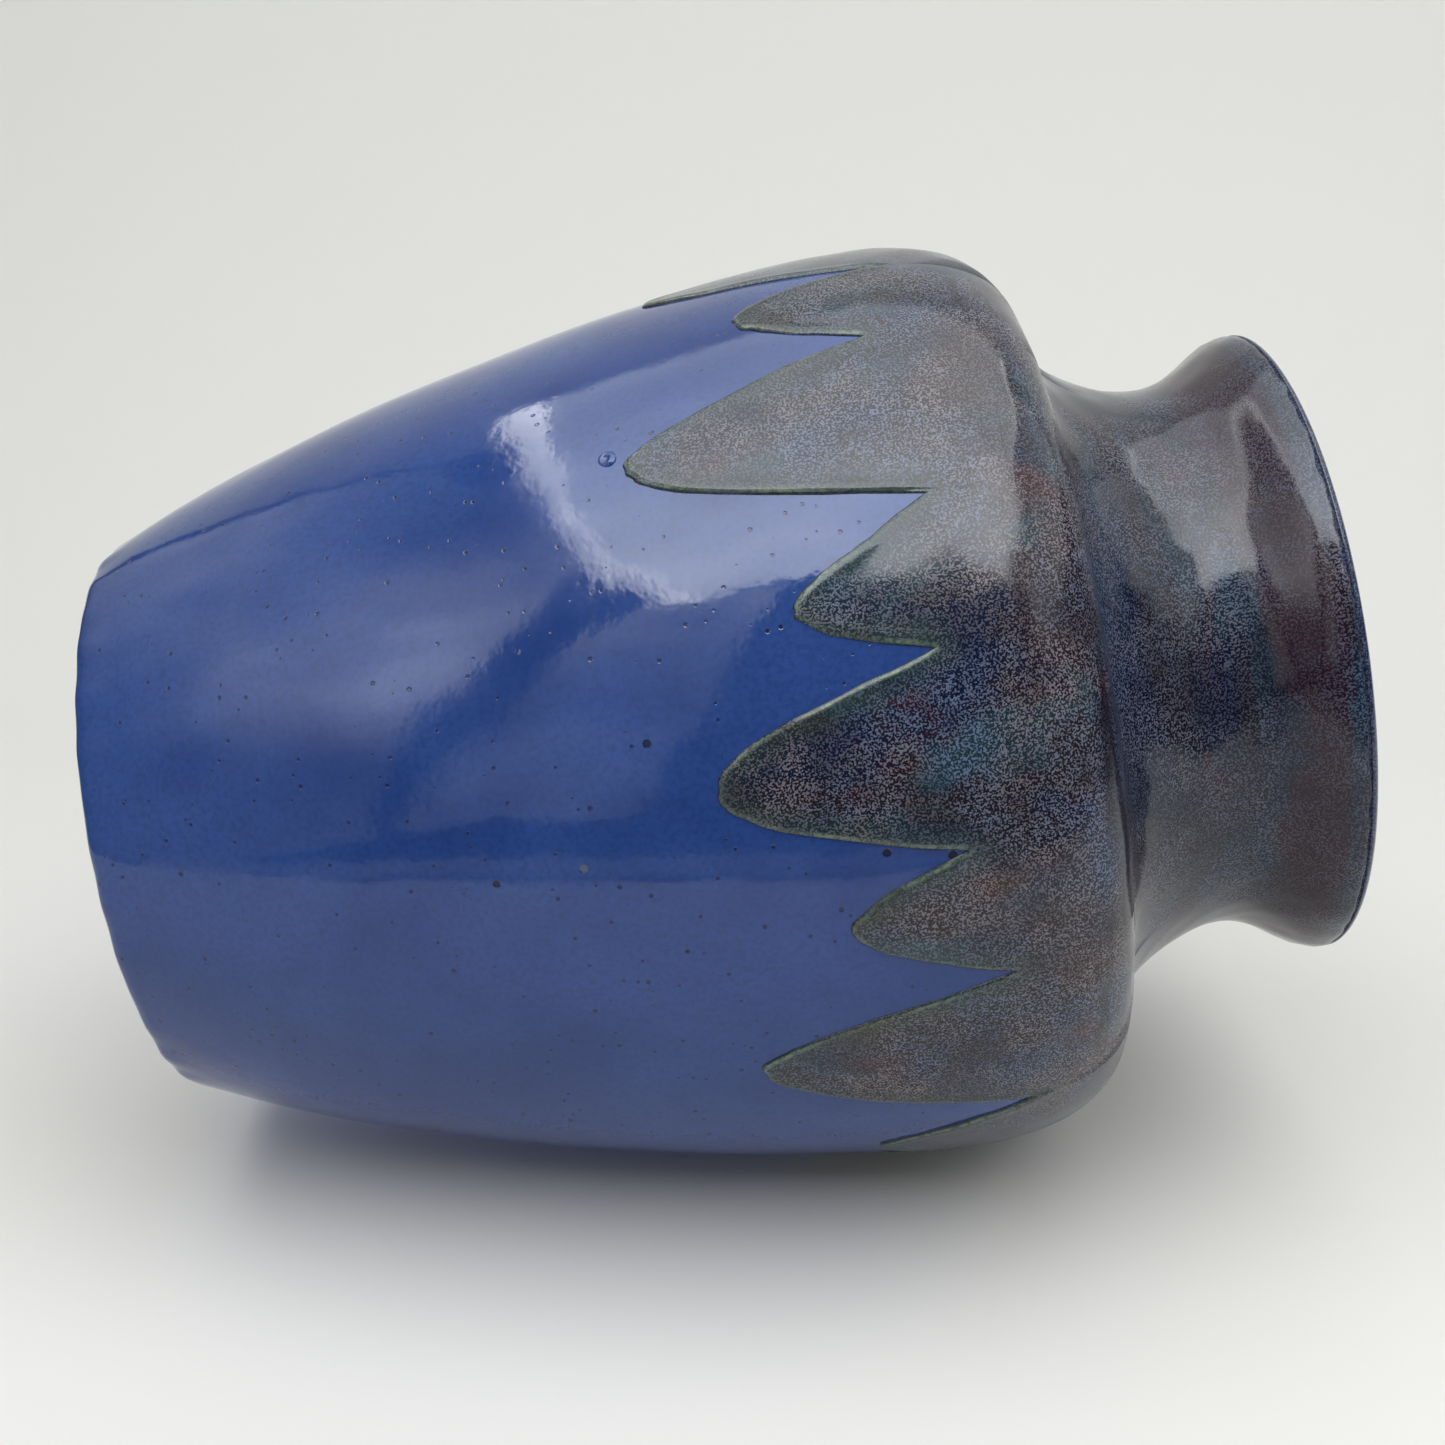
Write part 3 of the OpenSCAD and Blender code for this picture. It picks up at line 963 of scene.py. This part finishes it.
def make_sweep():
    """A floor that curves up into a back wall. Its left edge leans outwards as it rises."""
    line = [(SWEEP_FRONT, FLOOR), (0, FLOOR), (SWEEP_BACK + SWEEP_BEND, FLOOR)]
    for i in range(1, BEND_STEPS + 1):
        a = math.radians(90 * i / BEND_STEPS)
        z = SWEEP_BACK + SWEEP_BEND * (1 - math.sin(a))
        y = FLOOR + SWEEP_BEND * (1 - math.cos(a))
        line.append((z, y))
    line.append((SWEEP_BACK, SWEEP_TOP))
    vertices = [room(x, y, z) for z, y in line for x in (sweep_left(y), SWEEP_RIGHT)]
    faces = [(2 * i, 2 * i + 1, 2 * i + 3, 2 * i + 2) for i in range(len(line) - 1)]
    mesh = bpy.data.meshes.new("sweep")
    mesh.from_pydata(vertices, [], faces)
    mesh.polygons.foreach_set("use_smooth", [True] * len(faces))
    mesh.materials.append(stage_material())
    sweep = bpy.data.objects.new("sweep", mesh)
    bpy.context.collection.objects.link(sweep)


CARD_COLOUR = (0.96, 0.99, 1.0, 1)


def make_card(name, corners, dim, bright, rise, soft, front=0.0, uneven=0.3, fall=0.0):
    """A pale wall of the light tent. It shows only in reflections and lights nothing else.
    corners are room places: low left, low right, high right, high left. It goes from dim to bright
    over rise, its ends are soft, and fall dims its top. front dims its first half, and uneven is
    how cloudy it is."""
    grid = 8
    a, b, c, d = (room(*corner) for corner in corners)
    vertices, u_values, v_values = [], [], []
    for j in range(grid + 1):
        for i in range(grid + 1):
            u, v = i / grid, j / grid
            vertices.append(a.lerp(b, u).lerp(d.lerp(c, u), v))
            u_values.append(u)
            v_values.append(v)
    row = grid + 1
    faces = [(j * row + i, j * row + i + 1, (j + 1) * row + i + 1, (j + 1) * row + i)
             for j in range(grid) for i in range(grid)]
    mesh = bpy.data.meshes.new(name)
    mesh.from_pydata(vertices, [], faces)
    n = Nodes(name)
    glow = n.add("ShaderNodeEmission")
    u, v = n.value("u"), n.value("v")
    ends = n.math("MULTIPLY", n.smooth(u, 0, soft), n.smooth(u, 1 - soft, 1, 1, 0))
    clouds = n.smooth(n.noise(0.16, 1), 0.3, 0.7, 1 - uneven, 1 + uneven)
    nearer = n.smooth(u, 0.45, 0.9, 1 - front, 1)
    level = n.math("MULTIPLY", n.math("MULTIPLY", ends, nearer), clouds)
    level = n.math("MULTIPLY", level, n.smooth(v, 0.5, 0.85, 1, 1 - fall))
    n.put(glow.inputs["Strength"], n.math("MULTIPLY", level, n.smooth(v, *rise, dim, bright)))
    glow.inputs["Color"].default_value = CARD_COLOUR
    out = n.add("ShaderNodeOutputMaterial")
    n.put(out.inputs["Surface"], glow.outputs[0])
    mesh.materials.append(n.material)
    card = bpy.data.objects.new(name, mesh)
    add_values(card, "u", u_values)
    add_values(card, "v", v_values)
    bpy.context.collection.objects.link(card)
    card.visible_camera = False
    card.visible_diffuse = False
    card.visible_shadow = False


def make_panel(name, centre, aim, size, radiance, glossy=True, diffuse=True):
    """A soft light: a rectangle at a place in the room, facing another place. Without glossy it
    doesn't show in reflections, and without diffuse it shows only there."""
    data = bpy.data.lights.new(name, "AREA")
    data.shape = "RECTANGLE"
    data.size, data.size_y = size
    data.energy = radiance * math.pi * size[0] * size[1]
    light = bpy.data.objects.new(name, data)
    place, target = room(*centre), room(*aim)
    z_axis = (place - target).normalized()
    x_axis = (right - z_axis * right.dot(z_axis)).normalized()
    y_axis = z_axis.cross(x_axis)
    facing = Matrix((x_axis, y_axis, z_axis)).transposed().to_4x4()
    light.matrix_world = Matrix.Translation(place) @ facing
    light.visible_camera = False
    light.visible_glossy = glossy
    light.visible_diffuse = diffuse
    bpy.context.collection.objects.link(light)
    return light


make_sweep()

# The overhead window. One light gives its soft light and shadow, a card its reflection, and two
# narrow lights the bright edges of that reflection.
ROOF = 0.55
ROOF_LEFT, ROOF_RIGHT = -0.55 * ROOF, 0.71 * ROOF
ROOF_FRONT, ROOF_BACK = 0.95 * ROOF, -0.64 * ROOF
make_panel("roof", (0.1, ROOF, 0.30), (0.1, 0, 0.12), (1.1, 0.8), 1.95, glossy=False)
make_card(
    "roof_shine",
    (
        (ROOF_LEFT, ROOF, ROOF_BACK),
        (ROOF_RIGHT, ROOF, ROOF_BACK),
        (ROOF_RIGHT, ROOF, ROOF_FRONT),
        (ROOF_LEFT, ROOF, ROOF_FRONT),
    ),
    dim=2.1, bright=7.2, rise=(0.1, 0.90), soft=0.005, uneven=0.1,
)
RIM_LIGHT = 6.0
for name, x, width in (("left_rim", ROOF_LEFT, 0.035), ("right_rim", ROOF_RIGHT, 0.018)):
    z = (ROOF_FRONT + ROOF_BACK) / 2
    size = (width, ROOF_FRONT - ROOF_BACK)
    make_panel(name, (x, ROOF - 0.01, z), (x, 0, z), size, RIM_LIGHT, diffuse=False)

# The walls of the light tent and the front of its floor
LEFT_TOP = 1.0
WALL_GAP = 0.02
make_card(
    "left_wall",
    (
        (sweep_left(FLOOR) - WALL_GAP, FLOOR, SWEEP_BACK),
        (-0.40, FLOOR, 0.53),
        (-0.58, LEFT_TOP, 0.53),
        (sweep_left(LEFT_TOP) - WALL_GAP, LEFT_TOP, SWEEP_BACK),
    ),
    dim=0.38, bright=2.9, rise=(0.16, 0.40), soft=0.02, front=0.7, uneven=0.2, fall=0.6,
)
make_card(
    "front_wall",
    (
        (-0.412, FLOOR + 0.03, 0.57),
        (-0.23, FLOOR + 0.03, 0.64),
        (-0.18, 0.66, 0.64),
        (-0.39, 0.62, 0.57),
    ),
    dim=0.65, bright=1.8, rise=(0.6, 1.0), soft=0.04,
)
make_card(
    "front_strip",
    ((-0.5, FLOOR, 0.262), (0.2, FLOOR, 0.262), (0.2, FLOOR, 0.34), (-0.5, FLOOR, 0.34)),
    dim=0.55, bright=0.45, rise=(0.0, 1.0), soft=0.04,
)
make_card(
    "right_wall",
    ((0.62, 0.31, -0.4), (0.62, 0.31, 0.62), (0.62, 0.85, 0.62), (0.62, 0.85, -0.4)),
    dim=0.7, bright=1.3, rise=(0.0, 0.2), soft=0.1, fall=0.45,
)

# Two soft lights that reach only the vase, for its back and its inside, which the tent leaves dark
FILL_SIZE = (0.7, 0.7)
for name, place, radiance in (
    ("back_fill", (0.05, -0.29, -0.96), 12.0),
    ("mouth_fill", (0.8, 0.25, -0.1), 1.6),
):
    light = make_panel(name, place, (0, 0, 0), FILL_SIZE, radiance, glossy=False)
    light.light_linking.receiver_collection = vase
    light.light_linking.blocker_collection = vase

# The world's even light isn't reflected in the glaze: the tent's cards are reflected instead
WORLD_COLOUR = (0.43, 0.435, 0.42, 1)
world = bpy.data.worlds.new("world")
bpy.context.scene.world = world
world.use_nodes = True
world.node_tree.nodes["Background"].inputs["Color"].default_value = WORLD_COLOUR
world.cycles_visibility.glossy = False

bpy.context.scene.view_settings.view_transform = "Standard"
